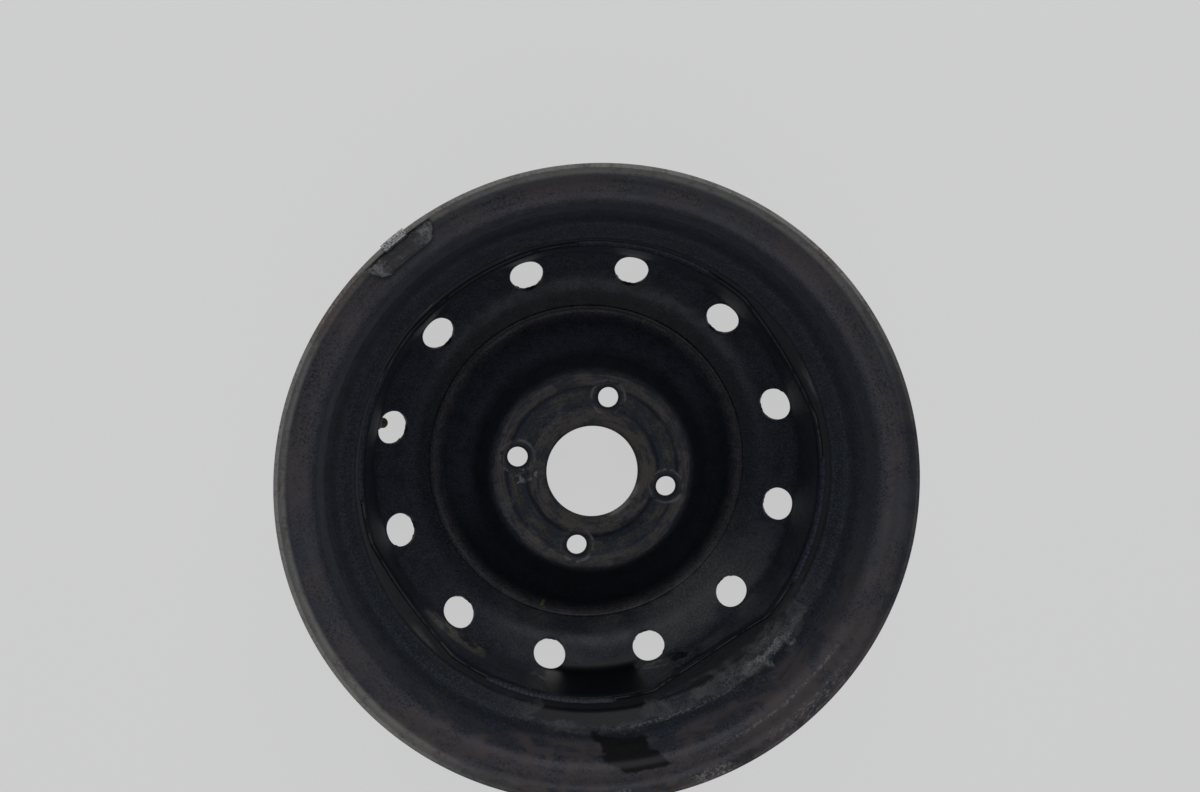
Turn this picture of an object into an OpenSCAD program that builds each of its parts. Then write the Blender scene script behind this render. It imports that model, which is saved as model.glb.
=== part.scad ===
// Pressed steel car wheel, seen and modelled lying on its outer flange.
// The origin is the centre of the face that meets the hub, and +Z points to the vehicle side.
// Lengths are in millimetres and angles in degrees.

/* [Rim] */
// Diameter of the bead seats at the flanges
seat_d = 354.8; // [346:0.1:368]
// Width between the two flange faces
rim_w = 139.7; // [134:0.1:146]
// Distance from the rim's middle plane to the hub face
wheel_offset = 16; // [12:0.5:19]
// Thickness of the rim sheet
rim_t = 2.5; // [2.1:0.1:3]
// Height of the flanges above the bead seats
flange_h = 18.1; // [16:0.1:18.5]
// Width of each flange, from its face to the end of its lip
flange_lip = 13; // [12:0.1:14]
// Radius of the flange curl on the tyre side
flange_curl_r = 9.5; // [9:0.1:10]
// Radius of the heel between seat and flange on the tyre side
heel_r = 6.5; // [5.5:0.1:6.9]
// Width of each bead seat
seat_w = 19.8; // [18:0.1:21]
// Taper of the bead seats
seat_taper = 5; // [4.5:0.1:5.5]
// Rise of the safety hump on the outer seat
hump_h = 1.5; // [1:0.1:2]
// Width of the safety hump
hump_w = 10; // [9:0.1:12]
// Depth of the well below the bead seats
well_depth = 17.4; // [16.5:0.1:18.5]
// Distance from the outer flange face to the well
well_start = 45; // [44:0.5:47]
// Distance from the inner flange face to the well
well_end = 40.9; // [39:0.1:43]
// Lean of the well's outer wall from the plane of the wheel
outer_wall_lean = 22; // [20:0.5:25]
// Lean of the well's inner wall from the wheel's axis
inner_wall_lean = 53; // [48:0.5:58]
// Height of the inner wall's crease above the well floor
crease_h = 9.6; // [8.5:0.1:11]

/* [Disc] */
// Thickness of the disc sheet
disc_t = 3.3; // [3:0.1:3.6]
// Diameter of the centre bore
bore_d = 65.1; // [63:0.1:67]
// Width of the chamfer around the bore
bore_chamfer = 1.4; // [0.8:0.1:1.6]
// Outer diameter of the land that meets the hub
land_d = 138; // [136:0.5:141]
// Width of that land
land_w = 6.5; // [5.5:0.1:7.5]
// Outer diameter of the ring around the bore
ring_d = 89; // [87:0.5:91]
// Depth of that ring below the land
ring_drop = 0.5; // [0.3:0.1:0.9]
// Depth of the pressed groove below the land
groove_depth = 3.4; // [2.8:0.1:3.8]
// Distance from the outer flange face in to the trough
trough_in = 16.25; // [14:0.25:18]
// Radial width of the shallow part of the band
shallow_run = 22.4; // [21:0.1:24]
// Rise of the shallow part of the band
shallow_slope = 9; // [7:0.5:11]
// Height of the pressed line between trough and band
line_h = 0.5; // [0.3:0.1:0.7]
// Width of that line at its foot
line_w = 2.4; // [2:0.1:3]
// Rise of the steep part of the band, where the vents are
steep_slope = 38; // [36:0.5:40]
// Radial distance from the vent circle in to the band's bend
band_bend_in = 10.4; // [9:0.1:12]
// Number of vents
vent_count = 12; // [8:1:14]
// Diameter of a vent
vent_d = 24.2; // [21:0.1:25]
// Distance from the inside of the skirt to the vent circle
vent_inset = 9.3; // [9:0.1:11]
// Distance from the skirt's edge to the end of the well floor
skirt_short = 14.45; // [12:0.05:17]
// Depth of each dip in the skirt's edge
dip_depth = 17.7; // [14:0.1:19]
// Width of each dip
dip_w = 94; // [84:1:100]
// Press-fit allowance between skirt and well
press_gap = 0.1; // [0.05:0.01:0.15]

/* [Bolt holes] */
// Number of bolt holes
bolt_count = 4; // [4:1:5]
// Diameter of the bolt circle
bolt_circle_d = 108; // [107:0.5:110]
// Diameter of a bolt hole
bolt_hole_d = 14.2; // [13:0.1:15]
// Full angle of the conical bolt seats
bolt_seat_angle = 60; // [58:1:62]
// Height of a seat boss below the sheet, on the outer side
boss_h = 2.6; // [2:0.1:3.2]
// Diameter of a seat boss at its foot
boss_d = 26; // [24.5:0.5:27]
// Diameter of the dimple around a bolt hole
dimple_d = 22.6; // [21.5:0.1:23.5]
// Depth of that dimple below the land
dimple_depth = 2.2; // [1.6:0.1:2.6]

/* [Welds] */
// Leg of a weld bead
weld_leg = 3.4; // [2.8:0.1:4]
// Length of a weld bead
weld_len = 96; // [80:1:104]
// Pitch of the ripples in a bead
weld_pitch = 8; // [7:0.5:12]

/* [Balance weight] */
// Place of the weight around the wheel
weight_place = 141; // [125:1:155]
// Length of the lead body
weight_len = 47; // [40:0.5:55]
// Radial depth of the lead body
weight_w = 11.4; // [10.5:0.1:12]
// Thickness of the lead body
weight_h = 7.2; // [6.4:0.1:7.8]
// Clearance between the weight and the flange
weight_gap = 0.15; // [0.1:0.01:0.25]
// Width of the spring clip
clip_w = 16; // [13:0.5:19]
// Thickness of the spring clip
clip_t = 0.9; // [0.7:0.05:1.1]

/* [Valve] */
// Diameter of the valve hole
valve_hole_d = 11.3; // [11:0.1:11.7]
// Length of the valve above the well wall
valve_len = 33; // [31:0.5:35]
// Diameter of the rubber at its shoulder
shoulder_d = 13; // [12.6:0.1:13.2]
// Diameter of the rubber along its body
rubber_d = 11; // [10.4:0.1:11.2]
// Length of the rubber above the wall
rubber_len = 22.5; // [20:0.5:24]
// Diameter of the bulb inside the tyre
bulb_d = 16.6; // [15.6:0.1:17]
// Length of the bulb
bulb_len = 6.5; // [6:0.5:7]
// Diameter of the stem over its thread
stem_d = 7.7; // [7.3:0.1:8]
// Pitch of the stem's thread
stem_pitch = 0.8; // [0.7:0.1:1]
// Diameter of the stem's bore
stem_bore_d = 5.2; // [5:0.1:5.4]
// Length of the valve core's housing
core_len = 13; // [12:0.5:14]
// Diameter of the core's pin
pin_d = 1.3; // [1.1:0.1:1.5]
// Travel of the core's pin
pin_travel = 1.2; // [0.8:0.1:1.5]
// Running clearance of the core's moving parts
core_gap = 0.08; // [0.06:0.01:0.1]

/* [Hidden] */
$fn = 96;

// Bends and directions
bend_step = 6;
valve_place = 180;

// Rim levels
inner_face_z = wheel_offset + rim_w / 2;
outer_face_z = wheel_offset - rim_w / 2;
seat_r = seat_d / 2;
seat_skin_r = seat_r - rim_t;
seat_drop = seat_w * tan(seat_taper);
seat_end_r = seat_skin_r - seat_drop;
lip_skin_r = seat_r + flange_h - rim_t;
well_r = seat_r - well_depth - rim_t;
well_low_z = outer_face_z + well_start;
well_high_z = inner_face_z - well_end;
ledge_r = seat_end_r + hump_h * 0.7;
crease_r = well_r + crease_h;
crease_z = well_high_z + crease_h / tan(inner_wall_lean);
ledge_z = well_low_z - (ledge_r - well_r) * tan(outer_wall_lean);
wall_bend_r = 3.5;
valve_r = (well_r + ledge_r) / 2;

// Disc levels, on the skin that faces the vehicle
skirt_r = well_r - press_gap;
skirt_skin_r = skirt_r - disc_t;
land_r = land_d / 2;
vent_r = skirt_skin_r - vent_inset;
band_r = vent_r - band_bend_in;
trough_r = band_r - shallow_run;
trough_z = outer_face_z + trough_in;
line_r = trough_r + 5;
band_z = trough_z + shallow_run * tan(shallow_slope);
vent_z = band_z + band_bend_in * tan(steep_slope);
skirt_low_z = vent_z + vent_inset * tan(steep_slope);
skirt_top = well_high_z - skirt_short;
bolt_r = bolt_circle_d / 2;

// A function that rounds the corners of a path, each given as [radius, height, bend radius]
function unit(v) = v / norm(v);
function turn(a, b) = a[0] * b[1] - a[1] * b[0];
function corner(a, b, c) =
    let (u = unit([a[0] - b[0], a[1] - b[1]]),
        v = unit([c[0] - b[0], c[1] - b[1]]),
        half = acos(u * v) / 2,
        centre = [b[0], b[1]] + unit(u + v) * b[2] / sin(half),
        first = [b[0], b[1]] + u * b[2] / tan(half) - centre,
        sweep = (turn(-u, v) > 0 ? 1 : -1) * (180 - 2 * half),
        steps = max(2, ceil(abs(sweep) / bend_step)),
        start = atan2(first[1], first[0]))
    [for (i = [0:steps]) centre + b[2] * [cos(start + sweep * i / steps), sin(start + sweep * i / steps)]];
function rounded(p) = [for (i = [0:len(p) - 1])
    each (p[i][2] == 0 ? [[p[i][0], p[i][1]]] : corner(p[i - 1], p[i], p[i + 1]))];

// The same path moved to its right by a distance, measured square to the path
function heading(q, i) = i == 0 ? unit(q[1] - q[0]) : i == len(q) - 1 ? unit(q[i] - q[i - 1])
    : unit(unit(q[i] - q[i - 1]) + unit(q[i + 1] - q[i]));
function lean(q, i) = i == 0 || i == len(q) - 1 ? 1 : heading(q, i) * unit(q[i + 1] - q[i]);
function beside(q, t) = [for (i = [0:len(q) - 1]) let (h = heading(q, i)) q[i] + [h[1], -h[0]] * t / lean(q, i)];
function reversed(q) = [for (i = [len(q) - 1:-1:0]) q[i]];
function sheet(q, t) = concat(q, reversed(beside(q, t)));

// Part of a ring between two angles, with the section that is passed as a child
module arc_of(from, to) {
    rotate([0, 0, from]) rotate_extrude(angle = to - from) children();
}

// Skin of the rim that faces the axis, from the outer lip up to the inner lip
rim_skin = rounded([
    [lip_skin_r, outer_face_z - flange_lip, 0],
    [lip_skin_r, outer_face_z - rim_t, flange_curl_r - rim_t],
    [seat_skin_r, outer_face_z - rim_t, heel_r + rim_t],
    [seat_end_r, outer_face_z + seat_w, 3],
    [seat_end_r + hump_h, outer_face_z + seat_w + hump_w * 0.35, 4],
    [seat_end_r + hump_h, outer_face_z + seat_w + hump_w * 0.65, 4],
    [ledge_r, outer_face_z + seat_w + hump_w, 3],
    [ledge_r, ledge_z, wall_bend_r],
    [well_r, well_low_z, wall_bend_r],
    [well_r, well_high_z, 6],
    [crease_r, crease_z, 2],
    [seat_end_r, inner_face_z - seat_w, 8],
    [seat_skin_r, inner_face_z + rim_t, heel_r + rim_t],
    [lip_skin_r, inner_face_z + rim_t, flange_curl_r - rim_t],
    [lip_skin_r, inner_face_z + flange_lip, 0]
]);

module rim() {
    color([0.12, 0.12, 0.13])
    difference() {
        rotate_extrude($fn = 180) polygon(sheet(rim_skin, rim_t));
        at_valve() cylinder(d = valve_hole_d, h = rim_t * 6, center = true, $fn = 48);
    }
}

// Skin of the disc that faces the vehicle, from the bore out to the skirt's edge; only this side has the line
ring_r = ring_d / 2;
line_crest = [[line_r - line_w / 2, trough_z, 0.7], [line_r, trough_z + line_h, 0.8]];
function disc_skin(line) = rounded([
    [bore_d / 2 - 2, -ring_drop - 1.2, 0],
    [bore_d / 2 + 7, -ring_drop, 5],
    [ring_r, -ring_drop, 4],
    [ring_r + groove_depth * 1.1, -groove_depth, 2],
    [land_r - land_w - groove_depth * 0.9, -groove_depth, 2],
    [land_r - land_w, 0, 4],
    [land_r, 0, 4.5],
    [trough_r, trough_z, 8],
    each line,
    [line_r + line_w / 2, trough_z, 0.7],
    [band_r, band_z, 30],
    [skirt_skin_r, skirt_low_z, 10],
    [skirt_skin_r, skirt_top, 0]
]);

module disc() {
    color([0.1, 0.11, 0.14])
    difference() {
        union() {
            rotate_extrude($fn = 180)
                polygon(concat(disc_skin(line_crest), reversed(beside(disc_skin([]), disc_t))));
            each_bolt() boss();
        }
        each_bolt() bolt_cut();
        each_vent() cylinder(d = vent_d, h = disc_t * 8, center = true, $fn = 64);
        each_dip() dip();
        cylinder(d = bore_d, h = disc_t * 8, center = true, $fn = 180);
        translate([0, 0, -ring_drop - 0.9 - bore_chamfer])
            cylinder(r1 = bore_d / 2, r2 = bore_d / 2 + bore_chamfer * 3, h = bore_chamfer * 3, $fn = 180);
    }
}

module each_bolt() {
    for (i = [0:bolt_count - 1]) rotate([0, 0, i * 360 / bolt_count]) translate([bolt_r, 0, 0]) children();
}

// The metal around a bolt hole, pushed out to carry the seat
module boss() {
    floor_z = -dimple_depth - disc_t;
    translate([0, 0, floor_z - boss_h])
        cylinder(d1 = boss_d - 5, d2 = boss_d, h = boss_h + disc_t, $fn = 64);
}

// Dimple, hole and conical seat of one bolt
module bolt_cut() {
    seat_foot = -dimple_depth - disc_t - boss_h;
    seat_h = boss_h + disc_t - 2.2;
    seat_top_r = bolt_hole_d / 2;
    through = -3 * seat_foot;
    translate([0, 0, -dimple_depth])
        cylinder(d1 = dimple_d, d2 = dimple_d + 2.4, h = dimple_depth + 1, $fn = 64);
    cylinder(d = bolt_hole_d, h = through, center = true, $fn = 48);
    translate([0, 0, seat_foot - 0.01])
        cylinder(r1 = seat_top_r + seat_h * tan(bolt_seat_angle / 2), r2 = seat_top_r, h = seat_h, $fn = 64);
    translate([0, 0, -dimple_depth - 0.5])
        cylinder(d1 = bolt_hole_d, d2 = bolt_hole_d + 2, h = 1, $fn = 48);
}

module each_vent() {
    for (i = [0:vent_count - 1]) rotate([0, 0, i * 360 / vent_count])
        translate([vent_r, 0, vent_z]) rotate([0, -steep_slope, 0]) children();
}

// The skirt's edge dips midway between the bolts, where the blank was narrower
dip_r = (pow(dip_w / 2, 2) + pow(dip_depth, 2)) / (2 * dip_depth);
dip_reach = 30;
module each_dip() {
    for (i = [0:bolt_count - 1]) rotate([0, 0, (i + 0.5) * 360 / bolt_count]) children();
}
module dip() {
    translate([skirt_r - dip_reach / 2, 0, skirt_top - dip_depth + dip_r])
        rotate([0, 90, 0]) cylinder(r = dip_r, h = dip_reach, $fn = 120);
}

// A weld bead: a plain fillet with a ripple laid over every second step, and thin ends
bead_turn = weld_len / skirt_r * 180 / PI;
bead_steps = 2 * floor(weld_len / weld_pitch / 2) + 1;
bead_step = bead_turn / bead_steps;
bead_lap = bead_step * 0.3;
module weld(i) {
    color([0.16, 0.16, 0.17])
    rotate([0, 0, (i - 1) * 360 / bolt_count - bead_turn / 2]) {
        arc_of(bead_step, bead_turn - bead_step) bead_section(0.88, 0);
        for (k = [1:2:bead_steps - 2])
            arc_of((k + 0.15) * bead_step, (k + 0.85) * bead_step) bead_section(1, 0.15);
        arc_of(0, bead_step + bead_lap) bead_section(0.6, 0.15);
        arc_of(bead_turn - bead_step - bead_lap, bead_turn) bead_section(0.6, 0.15);
    }
}
module bead_section(size, lift) {
    leg = weld_leg * size;
    seat_z = skirt_top + press_gap;
    back_r = well_r - press_gap;
    polygon([
        [back_r - lift, seat_z + lift],
        [back_r - lift, seat_z + leg * 1.15],
        [back_r - leg * 0.42, seat_z + leg],
        [back_r - leg * 0.78, seat_z + leg * 0.62],
        [back_r - leg * 0.95, seat_z + lift]
    ]);
}
module disc_weld_1() weld(1);
module disc_weld_2() weld(2);
module disc_weld_3() weld(3);
module disc_weld_4() weld(4);

// Balance weight in the channel of the inner flange
curl_z = inner_face_z + flange_curl_r;
curl_r = seat_r + flange_h - flange_curl_r;
channel_r = flange_curl_r - rim_t - weight_gap;
channel_z = inner_face_z + rim_t + weight_gap;
weight_top_r = curl_r + channel_r;
weight_low_r = weight_top_r - weight_w;
weight_turn = weight_len / weight_top_r * 180 / PI;
clip_turn = clip_w / weight_top_r * 180 / PI;

// Section of the lead: it follows the channel below and is crowned above
function weight_section(s) =
    let (low = weight_top_r - weight_w * s, top = channel_z + weight_h * s)
    concat(
        [[low + 1.2, channel_z]],
        [for (a = [0:15:75]) [curl_r + channel_r * sin(a), curl_z - channel_r * cos(a)]],
        [[weight_top_r, curl_z], [weight_top_r, max(curl_z, top - 0.8)]],
        [[weight_top_r - 1.2 * s, max(curl_z, top - 0.8) + 0.5]],
        [[(low + weight_top_r) / 2, top]],
        [[low + 2 * s, top - 1.5 * s], [low, top - 3.4 * s], [low, channel_z + 1]]);

module weight_body() {
    half_clip = clip_turn / 2 + 0.06;
    color([0.32, 0.32, 0.34])
    rotate([0, 0, weight_place])
        difference() {
            union() {
                arc_of(-weight_turn * 0.34, weight_turn * 0.34) polygon(weight_section(1));
                for (side = [-1, 1]) {
                    weight_end(side, 0.33, 0.43, 0.94);
                    weight_end(side, 0.42, 0.5, 0.8);
                }
            }
            arc_of(-half_clip, half_clip) polygon(sheet(beside(clip_path, -clip_fit), clip_t + 2 * clip_fit));
            arc_of(-half_clip, half_clip) polygon(clip_mouth);
        }
}
module weight_end(side, near, far, s) {
    arc_of(min(side * near, side * far) * weight_turn, max(side * near, side * far) * weight_turn)
        polygon(weight_section(s));
}

// The clip starts in the lead, passes over the lip and grips the tyre side of the flange
clip_fit = 0.05;
clip_in_r = lip_skin_r - weight_gap;
clip_out_r = seat_r + flange_h + weight_gap + clip_t;
clip_top_z = inner_face_z + flange_lip + weight_gap + clip_t;
clip_leg = [clip_in_r - clip_t, curl_z + 0.5];
clip_foot = [clip_leg[0] - 3.2, channel_z + 2.2];
clip_path = rounded([
    [clip_foot[0], clip_foot[1], 0],
    [clip_leg[0], clip_leg[1], 4],
    [clip_leg[0], clip_top_z, clip_t + 0.5],
    [clip_out_r, clip_top_z, clip_t + 0.7],
    [clip_out_r, curl_z - 2.5, 3],
    [clip_out_r - 0.9, curl_z - 4.6, 0]
]);

// The lead is open from the middle of the clip to the flange, above the embedded foot
clip_mouth = [
    clip_leg + [clip_t / 2, 0],
    clip_leg + (clip_foot - clip_leg) * 0.48 + [clip_t * 0.6, 0],
    [lip_skin_r + 1, clip_leg[1] + (clip_foot[1] - clip_leg[1]) * 0.48],
    [lip_skin_r + 1, clip_top_z],
    [clip_leg[0] + clip_t / 2, clip_top_z]
];

module weight_clip() {
    color([0.72, 0.72, 0.7])
    rotate([0, 0, weight_place])
        arc_of(-clip_turn / 2, clip_turn / 2) polygon(sheet(clip_path, clip_t));
}

// Tyre valve: its own axis starts on the well wall and points out of the wheel
module at_valve() {
    valve_z = well_low_z - (valve_r - well_r) * tan(outer_wall_lean);
    rotate([0, 0, valve_place]) translate([valve_r, 0, valve_z])
        rotate([0, 180 + outer_wall_lean, 0]) children();
}
module turned(points) {
    rotate_extrude($fn = 48) polygon(points);
}

stem_foot = 9;
neck_gap = 0.05;
module valve_rubber() {
    neck_r = valve_hole_d / 2 - neck_gap;
    air_r = 1.6;
    color([0.07, 0.07, 0.07])
    at_valve() turned([
        [air_r, -rim_t - bulb_len],
        [bulb_d / 2 - 1.6, -rim_t - bulb_len],
        [bulb_d / 2, -rim_t - bulb_len + 1.8],
        [bulb_d / 2 - 0.2, -rim_t - 3],
        [bulb_d / 2 - 0.9, -rim_t - 1.3],
        [bulb_d / 2 - 1.8, -rim_t - neck_gap],
        [neck_r, -rim_t - neck_gap],
        [neck_r, neck_gap],
        [shoulder_d / 2, neck_gap],
        [shoulder_d / 2 - 0.2, 1.8],
        [rubber_d / 2, 3.2],
        [rubber_d / 2 - 0.25, rubber_len - 1],
        [rubber_d / 2 - 1, rubber_len],
        [stem_d / 2, rubber_len],
        [stem_d / 2, stem_foot],
        [air_r, stem_foot]
    ]);
}

// Brass stem with a grooved end in place of a true thread
groove_d = stem_d - 0.9;
thread_from = rubber_len + 1.2;
thread_turns = floor((valve_len - 1 - thread_from) / stem_pitch);
throat_r = stem_bore_d / 2 - 0.7;
core_top = valve_len - 0.8;
core_foot = core_top - core_len;
guide_top = core_top - pin_travel;
cone_low = core_foot + 2;
cone_high = cone_low + 1.4;
module valve_stem() {
    thread = [for (k = [0:thread_turns - 1]) each [
        [stem_d / 2, thread_from + k * stem_pitch],
        [groove_d / 2, thread_from + (k + 0.5) * stem_pitch]]];
    thread_end = thread_from + thread_turns * stem_pitch;
    color([0.46, 0.42, 0.3])
    at_valve() turned(concat(
        [[throat_r, stem_foot + neck_gap], [stem_d / 2 - neck_gap, stem_foot + neck_gap],
            [stem_d / 2 - neck_gap, rubber_len + neck_gap], [stem_d / 2, rubber_len + 0.4]],
        thread,
        [[stem_d / 2, thread_end], [stem_d / 2 - 0.5, valve_len], [stem_bore_d / 2 + 0.3, valve_len],
            [stem_bore_d / 2, valve_len - 0.5], [stem_bore_d / 2, cone_high], [throat_r, cone_low]]));
}

// Valve core, hidden in the stem: housing with a guide, seal ring, pin with cup, cup seal and spring
housing_r = stem_bore_d / 2 - core_gap;
guide_r = pin_d / 2 + core_gap;
chamber_r = throat_r - 0.7;
floor_r = pin_d / 2 + 0.2;
housing_low = core_foot + 0.6;
floor_t = 0.7;
seal_inner_r = throat_r - 0.2;
seal_low = cone_low + 0.5;
seal_high = cone_high + 0.7;
module core_housing() {
    color([0.7, 0.6, 0.35])
    at_valve() turned([
        [floor_r, housing_low], [throat_r - 0.15, housing_low], [throat_r - 0.15, cone_low],
        [seal_inner_r, cone_low + 0.2], [seal_inner_r, seal_high], [housing_r, seal_high],
        [housing_r, guide_top - 1.6], [housing_r - 0.7, guide_top - 1.2], [housing_r - 0.7, guide_top],
        [guide_r, guide_top], [guide_r, guide_top - 1.4], [chamber_r, guide_top - 1.4],
        [chamber_r, housing_low + floor_t], [floor_r, housing_low + floor_t]
    ]);
}
module core_seal() {
    cone_rise = (stem_bore_d / 2 - throat_r) / (cone_high - cone_low);
    color([0.75, 0.2, 0.15])
    at_valve() turned([
        [seal_inner_r + core_gap, seal_low],
        [throat_r + (seal_low - cone_low) * cone_rise - core_gap, seal_low],
        [housing_r, cone_high], [housing_r, seal_high - core_gap],
        [seal_inner_r + core_gap, seal_high - core_gap]
    ]);
}

// The pin with its cup and collar, drawn closed; it travels down its own axis when pressed
cup_r = throat_r - 0.35;
cup_rim_t = 0.25;
cup_top = housing_low - core_gap;
cup_depth = 0.9;
collar_z = guide_top - 2.8;
collar_t = 0.6;
collar_r = chamber_r - core_gap;
module core_pin() {
    color([0.75, 0.65, 0.4])
    at_valve() turned([
        [0, cup_top - cup_depth - 0.7], [cup_r, cup_top - cup_depth - 0.7], [cup_r, cup_top - 0.2],
        [cup_r - cup_rim_t, cup_top - 0.2], [cup_r - cup_rim_t, cup_top - cup_depth],
        [pin_d / 2, cup_top - cup_depth], [pin_d / 2, collar_z - collar_t],
        [collar_r, collar_z - collar_t], [collar_r, collar_z], [pin_d / 2, collar_z],
        [pin_d / 2, core_top - 0.3], [pin_d / 2 - 0.2, core_top], [0, core_top]
    ]);
}
module core_cup_seal() {
    fit = core_gap / 2;
    color([0.08, 0.08, 0.08])
    at_valve() turned([
        [pin_d / 2 + fit, cup_top - cup_depth + fit], [cup_r - cup_rim_t - fit, cup_top - cup_depth + fit],
        [cup_r - cup_rim_t - fit, cup_top], [pin_d / 2 + fit, cup_top]
    ]);
}

// Return spring between the housing's floor and the pin's collar
spring_wire = 0.28;
spring_gap = 0.03;
spring_r = chamber_r - spring_wire / 2 - core_gap;
spring_low = housing_low + floor_t + spring_wire / 2 + spring_gap;
spring_high = collar_z - collar_t - spring_wire / 2 - spring_gap;
spring_turns = 6;
spring_sides = 6;
spring_rings = spring_turns * 12;
function spring_point(k, j) =
    let (a = 360 * spring_turns * k / spring_rings, b = 360 * j / spring_sides,
        r = spring_r + spring_wire / 2 * cos(b))
    [r * cos(a), r * sin(a),
        spring_low + (spring_high - spring_low) * k / spring_rings + spring_wire / 2 * sin(b)];
module core_spring() {
    n = spring_sides;
    last = spring_rings * n;
    points = [for (k = [0:spring_rings]) for (j = [0:n - 1]) spring_point(k, j)];
    sides = [for (k = [0:spring_rings - 1]) for (j = [0:n - 1])
        [k * n + j, (k + 1) * n + j, (k + 1) * n + (j + 1) % n, k * n + (j + 1) % n]];
    ends = [[for (j = [0:n - 1]) j], [for (j = [n - 1:-1:0]) last + j]];
    color([0.6, 0.6, 0.62])
    at_valve() polyhedron(points, concat(sides, ends));
}

rim();
disc();
disc_weld_1();
disc_weld_2();
disc_weld_3();
disc_weld_4();
weight_body();
weight_clip();
valve_rubber();
valve_stem();
core_housing();
core_seal();
core_pin();
core_cup_seal();
core_spring();
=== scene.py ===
import math

import bmesh
import bpy
from mathutils import Euler, Matrix, Vector


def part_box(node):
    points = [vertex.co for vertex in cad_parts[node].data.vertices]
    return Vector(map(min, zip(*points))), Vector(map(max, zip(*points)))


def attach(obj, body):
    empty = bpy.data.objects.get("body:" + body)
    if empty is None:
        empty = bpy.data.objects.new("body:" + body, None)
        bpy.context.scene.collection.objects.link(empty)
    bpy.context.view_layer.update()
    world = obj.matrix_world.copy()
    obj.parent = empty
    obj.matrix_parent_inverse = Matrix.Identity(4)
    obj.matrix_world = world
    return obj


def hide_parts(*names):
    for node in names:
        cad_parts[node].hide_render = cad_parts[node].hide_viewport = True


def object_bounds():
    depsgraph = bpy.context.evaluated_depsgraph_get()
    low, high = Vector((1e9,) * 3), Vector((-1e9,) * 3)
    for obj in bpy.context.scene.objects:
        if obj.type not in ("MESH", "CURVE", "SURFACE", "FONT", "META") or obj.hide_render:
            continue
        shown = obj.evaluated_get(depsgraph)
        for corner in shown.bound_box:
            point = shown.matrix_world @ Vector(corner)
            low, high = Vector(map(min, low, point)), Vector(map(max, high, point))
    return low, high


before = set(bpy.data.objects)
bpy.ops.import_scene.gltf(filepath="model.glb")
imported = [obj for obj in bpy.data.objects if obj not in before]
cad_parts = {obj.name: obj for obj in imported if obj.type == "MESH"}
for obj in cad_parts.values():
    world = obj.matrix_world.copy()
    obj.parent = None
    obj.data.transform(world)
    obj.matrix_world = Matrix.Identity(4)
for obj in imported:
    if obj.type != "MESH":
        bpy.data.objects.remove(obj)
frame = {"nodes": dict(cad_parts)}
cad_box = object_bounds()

bl_info = {
    "name": "Pressed steel car wheel",
    "version": (1, 0, 0),
    "blender": (4, 5, 0),
    "location": "3D View > Sidebar > Wheel",
    "description": "Builds the worn black paint, welds, weight and valve of a pressed steel wheel",
    "category": "Object",
}

MM = 0.001
FULL_TURN = 2 * math.pi
QUARTER = math.pi / 2
BODY = "wheel"
WEIGHT_AT = math.radians(141)  # azimuth of the balance weight's middle
INSIDE = 0.9999                # keeps the rim's round lip within the CAD's facets
STANDING_UP = 101.7            # azimuth in degrees that points up when the wheel stands as photographed
DISC_CUT = math.radians(15)    # azimuth where a cut of the disc meets no hole or dip
RIM_CUT = math.radians(20)     # azimuth where a cut of the rim meets no hole

CAD_MERGE = 0.002 * MM         # corners of a CAD mesh that are one
SECTION_MERGE = 0.01 * MM      # corners of a cut section that are one
SPIN_MERGE = 0.001 * MM        # where a spin meets itself
STRAIGHT = math.radians(0.6)   # a wire that turns by less is straight
SHARP_CORNER = math.radians(35)
SHARP_EDGE = math.radians(42)
HOLE_STEPS = 72                # steps around a cutter
CUT_ROUND_RIM = 0.30 * MM      # rounding of the valve hole's edges
CUT_ROUND_DISC = 0.35 * MM     # rounding of the vents' edges
HUB_STEP = 1.1 * MM            # longest step along the hub's section, between the next two radii
HUB_FROM, HUB_TO = 36 * MM, 72 * MM

DIMPLE = (10.4 * MM, 12.9 * MM)  # radii around a bolt where its dimple begins and ends to fade
BOSS = (10.0 * MM, 15.0 * MM)    # the same for its boss
SEAT_SLOPE = math.radians(30)    # half of a bolt seat's cone
DIP_FADE = 40 * MM               # height over which a dip lowers the skirt
EDGE_LAND = 1.2 * MM             # the skirt's topmost part, which a dip lowers in full

BEAD_SLIM = 0.88                 # a bead's size between two ripples
BEAD_PEAK = 0.85                 # share of the pitch where a ripple is fullest
BEAD_DROP = 0.74                 # how steeply a ripple then falls
RIPPLE_BOW = 0.25                # share of the pitch by which a ripple bows
BOW_WIDTH = 2 * MM
BEAD_END = 0.45                  # a bead's size at its ends
BEAD_TAPER = 4 * MM              # length over which an end grows to full size
END_STARTS = 0.55                # share of the weight's half length where its end begins to round
END_KEEPS = 0.22                 # share of its depth that is left at the very end


# Sizes and colours that a user would change

def length(name, description, default, **limits):
    return bpy.props.FloatProperty(
        name=name, description=description, default=default, unit="LENGTH", **limits)


def angle(name, description, degrees):
    return bpy.props.FloatProperty(
        name=name, description=description, default=math.radians(degrees), subtype="ANGLE")


def count(name, description, default, **limits):
    return bpy.props.IntProperty(name=name, description=description, default=default, **limits)


def tint(name, description, default):
    return bpy.props.FloatVectorProperty(
        name=name, description=description, default=default, subtype="COLOR", min=0, max=1)


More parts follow.
